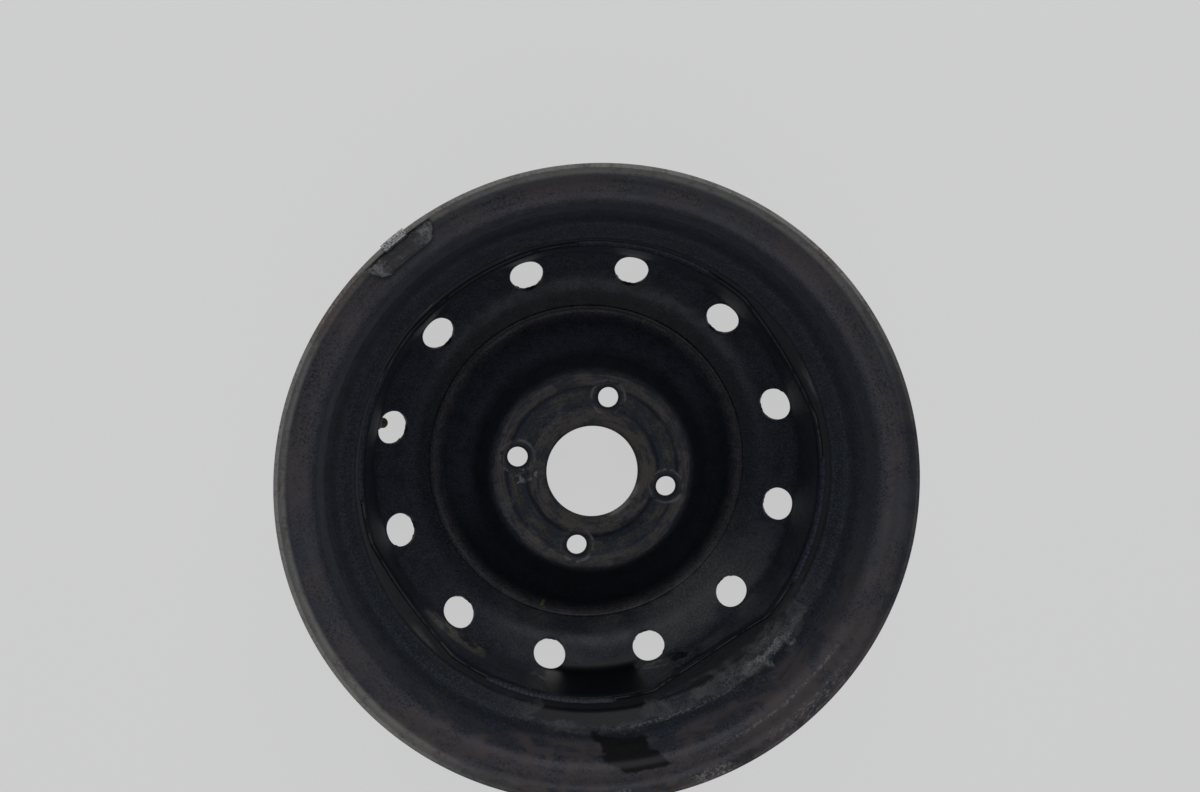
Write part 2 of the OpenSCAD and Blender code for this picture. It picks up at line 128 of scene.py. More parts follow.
class WheelSizes(bpy.types.PropertyGroup):
    """Sizes of the pressed parts, the beads and the valve."""
    edge_round: length("Edge rounding", "Rounding of the sheared sheet edges",
                       0.4 * MM, min=0.1 * MM, max=1.0 * MM)
    rim_steps: count("Rim steps", "Steps around the rim", 288, min=90, max=480)
    disc_steps: count("Disc steps", "Steps around the disc", 336, min=96, max=480)
    vent_count: count("Vents", "Number of round vents", 12, min=1, max=24)
    vent_diameter: length("Vent diameter", "Diameter of a vent", 24.2 * MM)
    vent_radius: length("Vent circle", "Radius of the vent circle", 144.8 * MM)
    vent_height: length("Vent height", "Height of the vents' centres", -25.93 * MM)
    vent_tilt: angle("Vent tilt", "Slope of the band at the vents", 38)
    bolt_radius: length("Bolt circle", "Radius of the bolt circle", 54 * MM)
    bolt_hole: length("Bolt hole", "Diameter of a bolt hole", 14.2 * MM)
    seat_end: length("Seat end", "Height where a conical bolt seat ends", -4.4 * MM)
    pad_height: length("Pad height", "Height of the dimple around a bolt hole", -2.2 * MM)
    boss_height: length("Boss height", "Height of the boss on the outer side", -8.1 * MM)
    dip_width: length("Dip width", "Width of a dip in the skirt's edge", 94 * MM)
    dip_depth: length("Dip depth", "Depth of a dip in the skirt's edge", 17.7 * MM)
    weld_cut: angle("Weld section", "Azimuth where the first bead has its full section", 2.7)
    weld_steps: count("Weld steps", "Steps along a bead", 220, min=40, max=400)
    ripple_pitch: length("Ripple pitch", "Distance from ripple to ripple of a bead", 3.2 * MM)
    valve_hole: length("Valve hole", "Diameter of the valve hole", 11.3 * MM)
    valve_radius: length("Valve radius", "Radius where the valve goes through the wall", 165.85 * MM)
    valve_height: length("Valve height", "Height where the valve goes through the wall", -12.22 * MM)
    valve_lean: angle("Valve lean", "Lean of the valve towards the axis", 22)


class WheelPaint(bpy.types.PropertyGroup):
    """Colours of the finishes."""
    # Also the colour of painted shade on the disc and in the rim's well.
    deep: tint("Deep black", "Clean black paint of the cone", (0.0085, 0.0118, 0.0180))
    black: tint("Black paint", "Blue-black paint", (0.0200, 0.0262, 0.0385))
    film: tint("Filmed paint", "Blue-black paint under a thin film of dirt", (0.0350, 0.0425, 0.0600))
    # Lighter than the black paint: partly the seats' own blue-grey, partly painted light for the light that
    # reaches the seats and the disc's skirt.
    seat: tint("Seat paint", "Blue-grey paint of the bead seats", (0.0500, 0.0550, 0.0720))
    worn: tint("Worn paint", "Dull grey paint of the flanges", (0.0720, 0.0690, 0.0820))
    brown: tint("Brown film", "Brown dirt on the flanges", (0.0960, 0.0800, 0.0790))
    rubbed: tint("Rubbed paint", "Brown-grey paint rubbed on the hub", (0.0760, 0.0720, 0.0640))
    wet: tint("Spill", "Black spill on skirt, well and seat", (0.001, 0.001, 0.0015))
    # Also the tint of the disc's painted highlights along edges.
    dust: tint("Dust", "Grey-brown road dust", (0.125, 0.122, 0.118))
    mud: tint("Mud", "Beige dried mud", (0.24, 0.21, 0.165))
    nick: tint("Nick", "Yellow-green mark on the disc", (0.20, 0.19, 0.06))
    rust: tint("Rust", "Brown rust of the lip", (0.085, 0.036, 0.017))
    lip: tint("Weathered lip", "Olive grey of the edge of the lip", (0.270, 0.260, 0.235))
    # Also the tint of painted highlights at the bolts' dimples and along the flange's root.
    bare: tint("Rubbed steel", "Grey of scuffed steel", (0.27, 0.27, 0.265))
    scratch: tint("Scratched steel", "Bright steel in the lip's scratches", (0.42, 0.42, 0.42))
    lead: tint("Lead", "Dark lead of the balance weight", (0.050, 0.048, 0.052))
    oxide: tint("Lead oxide", "Pale oxide on the lead", (0.26, 0.26, 0.26))
    steel: tint("Spring steel", "Bright steel of the clip and the core's spring", (0.62, 0.62, 0.60))
    speck: tint("Specks", "Dark specks on the spring steel", (0.13, 0.12, 0.11))
    rubber: tint("Valve rubber", "Black rubber of the valve", (0.014, 0.014, 0.014))
    brass: tint("Tarnished brass", "Olive brass of the valve stem", (0.10, 0.095, 0.06))
    core: tint("Core brass", "Plain brass of the valve core", (0.5, 0.38, 0.17))
    seal: tint("Seal plastic", "Red plastic of the core's seal ring", (0.35, 0.03, 0.02))


class WheelStage(bpy.types.PropertyGroup):
    """Floor, lamps and camera."""
    floor_tone: bpy.props.FloatProperty(
        name="Floor tone", description="Tone of the pale floor", default=0.70, min=0, max=1)
    camera_place: bpy.props.FloatVectorProperty(
        name="Camera place", description="Where the camera stands", subtype="TRANSLATION",
        default=(-75.95 * MM, 89.66 * MM, 644.42 * MM))
    camera_turn: bpy.props.FloatVectorProperty(
        name="Camera turn", description="How the camera is turned", subtype="EULER",
        default=(math.radians(-7.7895), math.radians(-5.1941), math.radians(12.0539)))
    camera_lens: bpy.props.FloatProperty(
        name="Lens", description="Focal length on a 36 mm sensor", default=27.765)
    camera_shift: bpy.props.FloatVectorProperty(
        name="Shift", description="Lens shift right and up", size=2, default=(0.00255, 0.04585))


# Node wiring

FRAY_TO_RADIUS = 0.1  # metres of fray across a patch's round edges for each radian along them


class Wiring:
    """A material and short calls that add nodes to it."""

    def __init__(self, name):
        self.material = bpy.data.materials.new(name)
        self.material.use_nodes = True
        self.tree = self.material.node_tree
        self.tree.nodes.clear()
        self.shader = self.node("ShaderNodeBsdfPrincipled")
        self.output = self.node("ShaderNodeOutputMaterial")
        self.join(self.shader.outputs[0], self.output.inputs[0])
        self.point = self.node("ShaderNodeTexCoord").outputs["Object"]
        self.parts = self.node("ShaderNodeSeparateXYZ")
        self.join(self.point, self.parts.inputs[0])
        self.x, self.y, self.z = self.parts.outputs

    def node(self, kind, **settings):
        made = self.tree.nodes.new(kind)
        for key, value in settings.items():
            setattr(made, key, value)
        return made

    def join(self, source, target):
        """Links a socket, or sets a plain value."""
        if isinstance(source, bpy.types.NodeSocket):
            self.tree.links.new(source, target)
        else:
            target.default_value = source

    def filled(self, made, **sockets):
        """Fills a node's sockets by name, with spaces for underscores, and gives its result."""
        for key, value in sockets.items():
            self.join(value, made.inputs[key.replace("_", " ")])
        return made.outputs[0]

    def math(self, operation, a, b=0.0, c=0.0):
        made = self.node("ShaderNodeMath", operation=operation)
        for value, socket in zip((a, b, c), made.inputs):
            self.join(value, socket)
        return made.outputs[0]

    def length(self, a, b):
        """Length of the diagonal over two sides."""
        square = self.math("ADD", self.math("POWER", a, 2.0), self.math("POWER", b, 2.0))
        return self.math("SQRT", square)

    def radius(self):
        """Distance from the wheel's axis."""
        return self.length(self.x, self.y)

    def angle_from(self, azimuth):
        """Angle around the axis from an azimuth in degrees, in radians from -pi to pi."""
        turn = math.radians(azimuth)
        c, s = math.cos(turn), math.sin(turn)
        along = self.math("ADD", self.both(self.x, c), self.both(self.y, s))
        across = self.math("SUBTRACT", self.both(self.y, c), self.both(self.x, s))
        return self.math("ARCTAN2", across, along)

    def from_bolts(self, sizes):
        """Distance from the nearest bolt hole's axis."""
        x, y = (self.math("ABSOLUTE", part) for part in (self.x, self.y))
        far = self.math("SUBTRACT", self.math("MAXIMUM", x, y), sizes.bolt_radius)
        near = self.math("MINIMUM", x, y)
        return self.length(far, near)

    def below_edge(self, sizes, top):
        """Depth below the skirt's edge, which dips midway between the bolts."""
        x, y = (self.math("ABSOLUTE", part) for part in (self.x, self.y))
        reach = self.math("POWER", self.both(self.math("SUBTRACT", x, y), math.sqrt(0.5)), 2.0)
        curve = dip_curve(sizes)
        arch = self.math("SQRT", self.math("MAXIMUM", self.math("SUBTRACT", curve ** 2, reach), 0.0))
        drop = self.math("MAXIMUM", self.math("ADD", arch, sizes.dip_depth - curve), 0.0)
        return self.math("SUBTRACT", self.math("SUBTRACT", top, drop), self.z)

    def noise(self, scale, detail=4.0, rough=0.55, warp=0.0, vector=None):
        made = self.node("ShaderNodeTexNoise")
        return self.filled(made, Vector=vector or self.point, Scale=scale, Detail=detail,
                           Roughness=rough, Distortion=warp)

    def polar(self, radial, around, along):
        """Coordinates that follow the wheel round, stretched by three factors."""
        made = self.node("ShaderNodeCombineXYZ")
        self.join(self.both(self.radius(), radial), made.inputs[0])
        self.join(self.both(self.angle_from(0.0), around), made.inputs[1])
        self.join(self.both(self.z, along), made.inputs[2])
        return made.outputs[0]

    def step(self, value, low, high):
        """0 below low and 1 above high, smooth between; falls instead where low is above high."""
        made = self.node("ShaderNodeMapRange", interpolation_type="SMOOTHSTEP")
        rising = float(low < high)
        return self.filled(made, Value=value, From_Min=min(low, high), From_Max=max(low, high),
                           To_Min=1.0 - rising, To_Max=rising)

    def band(self, value, low, high, soft):
        """1 between low and high, with soft shoulders."""
        return self.both(self.step(value, low - soft, low + soft),
                         self.step(value, high + soft, high - soft))

    def ragged(self, scale, amount):
        """A noise from about minus to plus a part of amount, which frays an edge."""
        return self.both(self.math("SUBTRACT", self.noise(scale, 4.0, 0.6), 0.5), amount)

    def patch(self, first, last, low, high, fray=0.0, edge=1.5, soft=0.002, scale=60.0, slant=0.0):
        """A patch from one azimuth to another in degrees and between two radii, with a frayed edge.

        Its azimuths hold at the low radius and move on by the slant, in degrees, up to the high one.
        """
        half = (last - first) / 2
        frayed = self.ragged(scale, fray)
        around_it = self.math("ADD", self.angle_from((first + last) / 2), frayed)
        if slant:
            rise = self.math("SUBTRACT", self.radius(), low)
            around_it = self.math("SUBTRACT", around_it, self.both(rise, math.radians(slant) / (high - low)))
        away = self.math("ABSOLUTE", around_it)
        radius = self.math("ADD", self.radius(), self.both(frayed, FRAY_TO_RADIUS))
        return self.both(self.step(away, math.radians(half + edge), math.radians(half - edge)),
                         self.band(radius, low, high, soft))

    def zones(self, value, stops):
        """Colours at growing values in millimetres, blended between."""
        made = self.node("ShaderNodeValToRGB")
        low, high = stops[0][0], stops[-1][0]
        ramp = made.color_ramp.elements
        for count, (place, colour) in enumerate(stops):
            share = (place - low) / (high - low)
            stop = ramp[count] if count < 2 else ramp.new(share)
            stop.position = share
            stop.color = tuple(colour) + (1.0,)
        scaled = self.node("ShaderNodeMapRange")
        self.join(self.filled(scaled, Value=value, From_Min=low * MM, From_Max=high * MM), made.inputs[0])
        return made.outputs[0]

    def grained(self, tone, grain, dirt, share):
        """A colour with darker pores and paler specks of dirt."""
        tone = self.colour(self.step(grain, 0.55, 0.36), tone, self.grey(0.8, tone))
        return self.colour(self.both(self.step(grain, 0.54, 0.70), share), tone, dirt)

    def grey(self, share, colour):
        """A colour darkened by a share."""
        return self.colour(share, colour, (0.0, 0.0, 0.0))

    def chained(self, operation, parts):
        result = parts[0]
        for part in parts[1:]:
            result = self.math(operation, result, part)
        return result

    def both(self, *parts):
        return self.chained("MULTIPLY", parts)

    def either(self, *parts):
        return self.chained("MAXIMUM", parts)

    def colour(self, share, first, second):
        made = self.node("ShaderNodeMix", data_type="RGBA")
        self.join(share, made.inputs[0])
        for value, socket in ((first, made.inputs[6]), (second, made.inputs[7])):
            self.join(tuple(value) + (1.0,) if not isinstance(value, bpy.types.NodeSocket) else value, socket)
        return made.outputs[2]

    def over(self, tone, tint, *shares):
        """A tint laid over a tone, as thick as its shares multiplied."""
        return self.colour(self.both(*shares), tone, tint)

    def blend(self, share, first, second):
        made = self.node("ShaderNodeMix", data_type="FLOAT")
        self.join(share, made.inputs[0])
        self.join(first, made.inputs[2])
        self.join(second, made.inputs[3])
        return made.outputs[0]

    def bump(self, height, strength, distance, below=None):
        made = self.node("ShaderNodeBump")
        if below is not None:
            self.join(below, made.inputs["Normal"])
        return self.filled(made, Strength=strength, Distance=distance, Height=height)

    def finish(self, colour, rough, normal=None, **plain):
        self.join(colour if isinstance(colour, bpy.types.NodeSocket) else tuple(colour) + (1.0,),
                  self.shader.inputs["Base Color"])
        self.join(rough, self.shader.inputs["Roughness"])
        if normal is not None:
            self.join(normal, self.shader.inputs["Normal"])
        for key, value in plain.items():
            self.shader.inputs[key].default_value = value
        return self.material


# Meshes

def merged_copy(node):
    """A bmesh of a CAD node with its corners shared."""
    bm = bmesh.new()
    bm.from_mesh(frame["nodes"][node].data)
    bmesh.ops.remove_doubles(bm, verts=bm.verts, dist=CAD_MERGE)
    return bm


def bend_at(vert):
    """Angle by which a wire turns at a vertex."""
    a, b = (e.other_vert(vert).co - vert.co for e in vert.link_edges)
    return math.pi - a.angle(b, math.pi)


def section_of(node, azimuth):
    """The closed outline that a half plane cuts from a node, turned onto the XZ plane."""
    bm = merged_copy(node)
    bmesh.ops.transform(bm, matrix=around(-azimuth), verts=bm.verts)
    bmesh.ops.bisect_plane(
        bm, geom=bm.verts[:] + bm.edges[:] + bm.faces[:], plane_co=(0, 0, 0), plane_no=(0, 1, 0),
        clear_inner=True, clear_outer=True)
    bmesh.ops.delete(bm, geom=[v for v in bm.verts if v.co.x < 0], context="VERTS")
    bmesh.ops.remove_doubles(bm, verts=bm.verts, dist=SECTION_MERGE)
    straight = [v for v in bm.verts if len(v.link_edges) == 2 and bend_at(v) < STRAIGHT]
    bmesh.ops.dissolve_verts(bm, verts=straight)
    return bm


def round_corners(bm, size):
    """Rounds the sharp corners of a closed wire."""
    bmesh.ops.contextual_create(bm, geom=bm.edges[:])
    sharp = [v for v in bm.verts if bend_at(v) > SHARP_CORNER]
    bmesh.ops.bevel(bm, geom=sharp, offset=size, offset_type="OFFSET", affect="VERTICES",
                    segments=3, profile=0.5, material=-1)
    bmesh.ops.delete(bm, geom=bm.faces[:], context="FACES_KEEP_BOUNDARY")


def split_long(bm, longest, inner, outer):
    """Splits the long edges of a wire between two radii into even steps."""
    for edge in bm.edges[:]:
        middle = (edge.verts[0].co.x + edge.verts[1].co.x) / 2
        if inner < middle < outer and edge.calc_length() > longest:
            bmesh.ops.subdivide_edges(bm, edges=[edge], cuts=int(edge.calc_length() / longest))


def spun(bm, steps, turn=FULL_TURN):
    """Turns a closed wire on the XZ plane into a ring, or a part of one with flat ends."""
    closed = turn == FULL_TURN
    if not closed:
        bmesh.ops.contextual_create(bm, geom=bm.edges[:])
    bmesh.ops.spin(bm, geom=bm.verts[:] + bm.edges[:] + bm.faces[:], cent=(0, 0, 0), axis=(0, 0, 1),
                   dvec=(0, 0, 0), angle=turn, steps=steps, use_merge=closed, use_duplicate=False)
    bmesh.ops.remove_doubles(bm, verts=bm.verts, dist=SPIN_MERGE)
    bmesh.ops.recalc_face_normals(bm, faces=bm.faces)
    bm.normal_update()


def fade(value, low, high):
    """1 below low and 0 above high, smooth between."""
    share = min(1.0, max(0.0, (high - value) / (high - low)))
    return share * share * (3 - 2 * share)


def turned_from(vert, azimuth):
    """Signed angle from an azimuth to a vertex."""
    return math.remainder(math.atan2(vert.co.y, vert.co.x) - azimuth, FULL_TURN)


def as_object(bm, name):
    mesh = bpy.data.meshes.new(name)
    bm.to_mesh(mesh)
    bm.free()
    piece = bpy.data.objects.new(name, mesh)
    bpy.context.scene.collection.objects.link(piece)
    return piece


def around(azimuth):
    """A turn about the wheel's axis."""
    return Matrix.Rotation(azimuth, 4, "Z")


def bars(name, places, diameter, depth):
    """Round cutters along their own Z, one at each place."""
    bm = bmesh.new()
    for place in places:
        bmesh.ops.create_cone(bm, cap_ends=True, cap_tris=False, segments=HOLE_STEPS,
                              radius1=diameter / 2, radius2=diameter / 2, depth=depth, matrix=place)
    return as_object(bm, name)


def corner(before, at, after, size):
    """Four points that ease a corner of a profile."""
    start = at + (before - at).normalized() * size
    end = at + (after - at).normalized() * size
    return [start.lerp(at, t).lerp(at.lerp(end, t), t) for t in (0, 1 / 3, 2 / 3, 1)]


def turned_cutter(name, places, profile):
    """Cutters spun from a profile of radius and height, one at each place."""
    bm = bmesh.new()
    made = [bmesh.ops.create_vert(bm, co=(point[0], 0, point[1]))["vert"][0] for point in profile]
    for first, second in zip(made, made[1:]):
        bm.edges.new((first, second))
    bmesh.ops.spin(bm, geom=bm.verts[:] + bm.edges[:], cent=(0, 0, 0), axis=(0, 0, 1), dvec=(0, 0, 0),
                   angle=FULL_TURN, steps=HOLE_STEPS, use_merge=True, use_duplicate=False)
    bmesh.ops.remove_doubles(bm, verts=bm.verts, dist=SPIN_MERGE)
    single = bm.verts[:] + bm.edges[:] + bm.faces[:]
    copies = [bmesh.ops.duplicate(bm, geom=single)["geom"] for _ in places[1:]]
    for place, made in zip(places[1:] + places[:1], copies + [single]):
        bmesh.ops.transform(bm, matrix=place, verts=[v for v in made if isinstance(v, bmesh.types.BMVert)])
    bmesh.ops.recalc_face_normals(bm, faces=bm.faces)
    return as_object(bm, name)


def settle(piece):
    """Turns what a piece's modifiers make into its mesh."""
    graph = bpy.context.evaluated_depsgraph_get()
    mesh = bpy.data.meshes.new_from_object(piece.evaluated_get(graph))
    piece.modifiers.clear()
    old = piece.data
    piece.data = mesh
    bpy.data.meshes.remove(old)


def cut(piece, cutter):
    """Takes a cutter out of a piece and removes it."""
    change = piece.modifiers.new(cutter.name, "BOOLEAN")
    change.operation = "DIFFERENCE"
    change.object = cutter
    change.solver = "EXACT"
    settle(piece)
    bpy.data.objects.remove(cutter)


def hard_edges(bm):
    return [e for e in bm.edges if len(e.link_faces) == 2 and e.calc_face_angle(0) > SHARP_EDGE]


def round_cut_edges(piece, size):
    """Rounds the sharp edges that the cutters left."""
    bm = bmesh.new()
    bm.from_mesh(piece.data)
    bmesh.ops.dissolve_degenerate(bm, dist=0.03 * MM, edges=bm.edges)
    rim = dict.fromkeys(v for e in hard_edges(bm) for v in e.verts)  # keeps its order in every run
    bmesh.ops.triangulate(bm, faces=list(dict.fromkeys(f for v in rim for f in v.link_faces)))
    joined = {}
    for vert in rim:
        for edge in vert.link_edges:
            other = edge.other_vert(vert)
            if other not in rim and other not in joined and edge.calc_length() < 1.5 * size:
                joined[other] = vert
    bmesh.ops.weld_verts(bm, targetmap=joined)
    bmesh.ops.dissolve_degenerate(bm, dist=SECTION_MERGE, edges=bm.edges)
    bmesh.ops.bevel(bm, geom=hard_edges(bm), offset=size, offset_type="OFFSET", affect="EDGES",
                    segments=2, profile=0.5, clamp_overlap=False, material=-1)
    bm.to_mesh(piece.data)
    bm.free()


def smooth(piece, degrees=35.0):
    """Smooth shading that keeps sharp edges and flat faces."""
    piece.data.shade_smooth()
    piece.data.set_sharp_from_angle(angle=math.radians(degrees))
    weights = piece.modifiers.new("flat faces lead", "WEIGHTED_NORMAL")
    weights.keep_sharp = True
    weights.weight = 80


def paint(piece, material):
    piece.data.materials.clear()
    piece.data.materials.append(material)


def dressed(piece, material, replaces=()):
    """A finished new piece: painted, riding on the wheel and standing for its CAD nodes."""
    paint(piece, material)
    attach(piece, BODY)
    if replaces:
        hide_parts(*replaces)


def refined(node, material, edge=0.0):
    """A smooth copy of a CAD node, with its edges rounded, that stands for it."""
    piece = as_object(merged_copy(node), node + "_finished")
    if edge:
        rounding = piece.modifiers.new("rounded edges", "BEVEL")
        rounding.limit_method = "ANGLE"
        rounding.angle_limit = math.radians(40)
        rounding.width = edge
        rounding.segments = 2
        rounding.profile = 0.5
    smooth(piece)
    dressed(piece, material, [node])


# Finishes

THIN_SHINE = {"Specular IOR Level": 0.28}  # old paint reflects less than fresh paint
DUSTY = {"Sheen Weight": 0.12, "Sheen Roughness": 0.5}  # a thin film of dust, pale where it is seen along
DUSTY_ROUGH = 0.62  # roughness where dirt or wear has dulled the paint
STAIN_ROUGH = 0.42  # roughness of the spill
OUTER_ROUGH = 0.68  # roughness low on the disc's outer side


def disc_paint(tints, sizes):
    """Blue-black paint: rubbed on the hub, dusty low on the band, wet and muddy at the foot of the skirt,
    with painted shade and painted highlights on the hub, the band and the skirt's edge.
    """
    w = Wiring("disc paint")
    r = w.radius()
    black, film, deep = tuple(tints.black), tuple(tints.film), tuple(tints.deep)
    large = w.noise(24.0, 5.0, 0.6, 0.5)
    middle = w.noise(95.0, 6.0, 0.65, 0.4)
    fine = w.noise(620.0, 4.0, 0.7)
    rings = w.noise(1.0, 5.0, 0.65, 0.0, w.polar(900.0, 2.4, 500.0))
    tone = w.zones(r, [
        (30, tints.rubbed), (44, tints.rubbed), (46.5, film), (50, film), (56, tints.rubbed), (60, film),
        (63, tints.rubbed), (71, film), (74.5, deep), (82, deep), (90, film), (106, film),
        (110, tints.worn), (114.5, tints.worn), (118, black), (124, black), (131, film), (150, film),
        # The skirt's seat tone is partly painted light.
        (153.5, tints.seat), (154.8, tints.seat), (155.2, tints.worn), (158, tints.worn)])
    # Painted shade: deep black over the inner band on the upper side and over the cone on the lower side,
    # where these faces turn away from the light.
    upper = w.step(w.math("ABSOLUTE", w.angle_from(125.0)), math.radians(115), math.radians(60))
    painted_side_shade = w.either(w.both(upper, w.band(r, 0.116, 0.126, 0.003)),
                     w.both(w.step(upper, 1.0, 0.0), w.band(r, 0.076, 0.106, 0.004)))
    tone = w.over(tone, deep, painted_side_shade, 0.8)
    tone = w.colour(w.step(middle, 0.42, 0.66), tone, w.grey(0.35, tone))
    tone = w.grained(tone, w.noise(820.0, 5.0, 0.75), tints.dust, w.both(w.step(r, 0.100, 0.108), 0.45))
    low_band = w.patch(252.0, 352.0, 0.1170, 0.151, 0.3, 10.0, 0.004, 40.0)
    low_band = w.both(low_band, w.step(w.noise(34.0, 4.0, 0.6), 0.32, 0.66))
    heavy = w.patch(303.0, 342.0, 0.1180, 0.150, 0.3, 10.0, 0.004, 40.0)
    dusty = w.either(w.both(low_band, 0.62), w.both(heavy, 0.95))
    dusty = w.both(dusty, w.blend(w.step(w.noise(780.0, 6.0, 0.8), 0.47, 0.62), 0.30, 1.0))
    tone = w.over(tone, tints.dust, dusty)
    land = w.band(r, 0.0612, 0.0705, 0.0014)
    inner_ring = w.band(r, 0.0350, 0.0455, 0.0012)
    worn = w.both(w.either(land, inner_ring), w.step(w.blend(0.5, rings, middle), 0.44, 0.56))
    tone = w.over(tone, tints.brown, worn, 0.8)
    hub = w.step(r, 0.0735, 0.0700)
    arcs = w.noise(1.0, 5.0, 0.6, 0.3, w.polar(260.0, 3.0, 260.0))
    cloud = w.blend(0.5, w.noise(60.0, 7.0, 0.68, 0.3), arcs)
    tone = w.over(tone, black, hub, 0.9, w.step(cloud, 0.47, 0.60))
    tone = w.over(tone, tints.rubbed, hub, 0.8, w.step(cloud, 0.50, 0.36))
    shaded = w.patch(283.0, 332.0, 0.0462, 0.0515, 0.3, 10.0, 0.0012, 80.0)
    tone = w.over(tone, deep, shaded, 0.7)
    # Painted highlights: pale arcs, in the dust tint, along the inner ring's upper-left edge and the land's
    # lower-left edge.
    painted_edge_highlight = w.either(w.patch(112.0, 165.0, 0.0445, 0.0468, 0.3, 9.0, 0.0009, 80.0),
                         w.patch(205.0, 262.0, 0.0635, 0.0680, 0.3, 9.0, 0.0012, 80.0))
    tone = w.over(tone, tints.dust, painted_edge_highlight, w.step(fine, 0.36, 0.58), 0.5)
    from_bolt = w.from_bolts(sizes)
    # Painted shade: a deep black ring in each bolt's dimple, round the hole's mouth.
    tone = w.over(tone, deep, w.band(from_bolt, 0.0060, 0.0092, 0.0014), 0.9)
    # Painted highlight: a blotched pale ring, in the rubbed-steel tint, along the edge of each bolt's dimple.
    ring = w.both(w.band(from_bolt, 0.0112, 0.0126, 0.0008), w.step(middle, 0.46, 0.58))
    tone = w.over(tone, tints.bare, ring, 0.45)
    silver = w.both(w.patch(187.0, 199.0, 0.042, 0.049, 0.5, 2.0, 0.001, 120.0), w.step(middle, 0.45, 0.55))
    bore_edge = w.patch(304.0, 356.0, 0.0310, 0.0348, 0.0, 6.0, 0.0012)
    silver = w.either(silver, w.both(bore_edge, w.step(middle, 0.36, 0.52)))
    smear = w.both(w.step(w.noise(140.0, 8.0, 0.8, 1.5), 0.60, 0.70), w.band(r, 0.0400, 0.0640, 0.003))
    silver = w.either(silver, w.both(smear, 0.5))
    tone = w.over(tone, tints.bare, silver, 0.6)
    wet = w.patch(262.0, 312.0, 0.1515, 0.1548, 0.35, 3.0, 0.0004, 45.0)
    wet = w.both(wet, w.step(w.z, -0.018, -0.014))
    pool = w.patch(271.0, 297.0, 0.1480, 0.170, 0.14, 0.7, 0.0008, 70.0, -6.5)
    wet = w.either(w.both(wet, w.step(middle, 0.70, 0.58)), pool)
    tone = w.over(tone, tints.wet, wet, 0.93)
    deep_in = w.below_edge(sizes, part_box("disc")[1].z)
    skirt = w.step(r, 0.1525, 0.1532)
    # Painted shadow: deep black on the skirt's inner face just below its edge.
    edge_shadow = w.both(skirt, w.step(deep_in, 0.0046, 0.0034))
    tone = w.over(tone, deep, edge_shadow, 0.9)
    # Painted highlight: a thin pale line, in the dust tint, along the skirt's cut edge, inside the painted
    # shadow.
    lit = w.both(w.band(r, 0.1554, 0.1562, 0.0003), w.step(middle, 0.38, 0.54))
    tone = w.over(tone, tints.dust, edge_shadow, lit, 0.7)
    mud = w.both(w.patch(233.0, 251.0, 0.1525, 0.160, 0.25, 1.5, 0.0006, 70.0), w.step(fine, 0.36, 0.58))
    mud = w.both(mud, w.band(w.z, -0.014, 0.006, 0.004))
    tone = w.over(tone, tints.mud, mud, 0.75)
    nick = w.both(w.patch(263.0, 264.2, 0.1075, 0.1135, 0.0, 0.2, 0.0006), w.step(fine, 0.40, 0.5))
    tone = w.over(tone, tints.nick, nick)
    rough = w.blend(w.step(middle, 0.35, 0.65), 0.26, 0.42)
    rough = w.blend(w.step(w.z, -0.034, -0.026), rough, OUTER_ROUGH)
    rough = w.blend(w.either(dusty, w.either(worn, mud)), rough, DUSTY_ROUGH)
    rough = w.blend(wet, rough, STAIN_ROUGH)
    skin = w.bump(large, 0.25, 0.0012)
    skin = w.bump(fine, 0.2, 0.00012, skin)
    skin = w.bump(rings, 0.20, 0.00012, skin)
    return w.finish(tone, rough, skin, **THIN_SHINE)


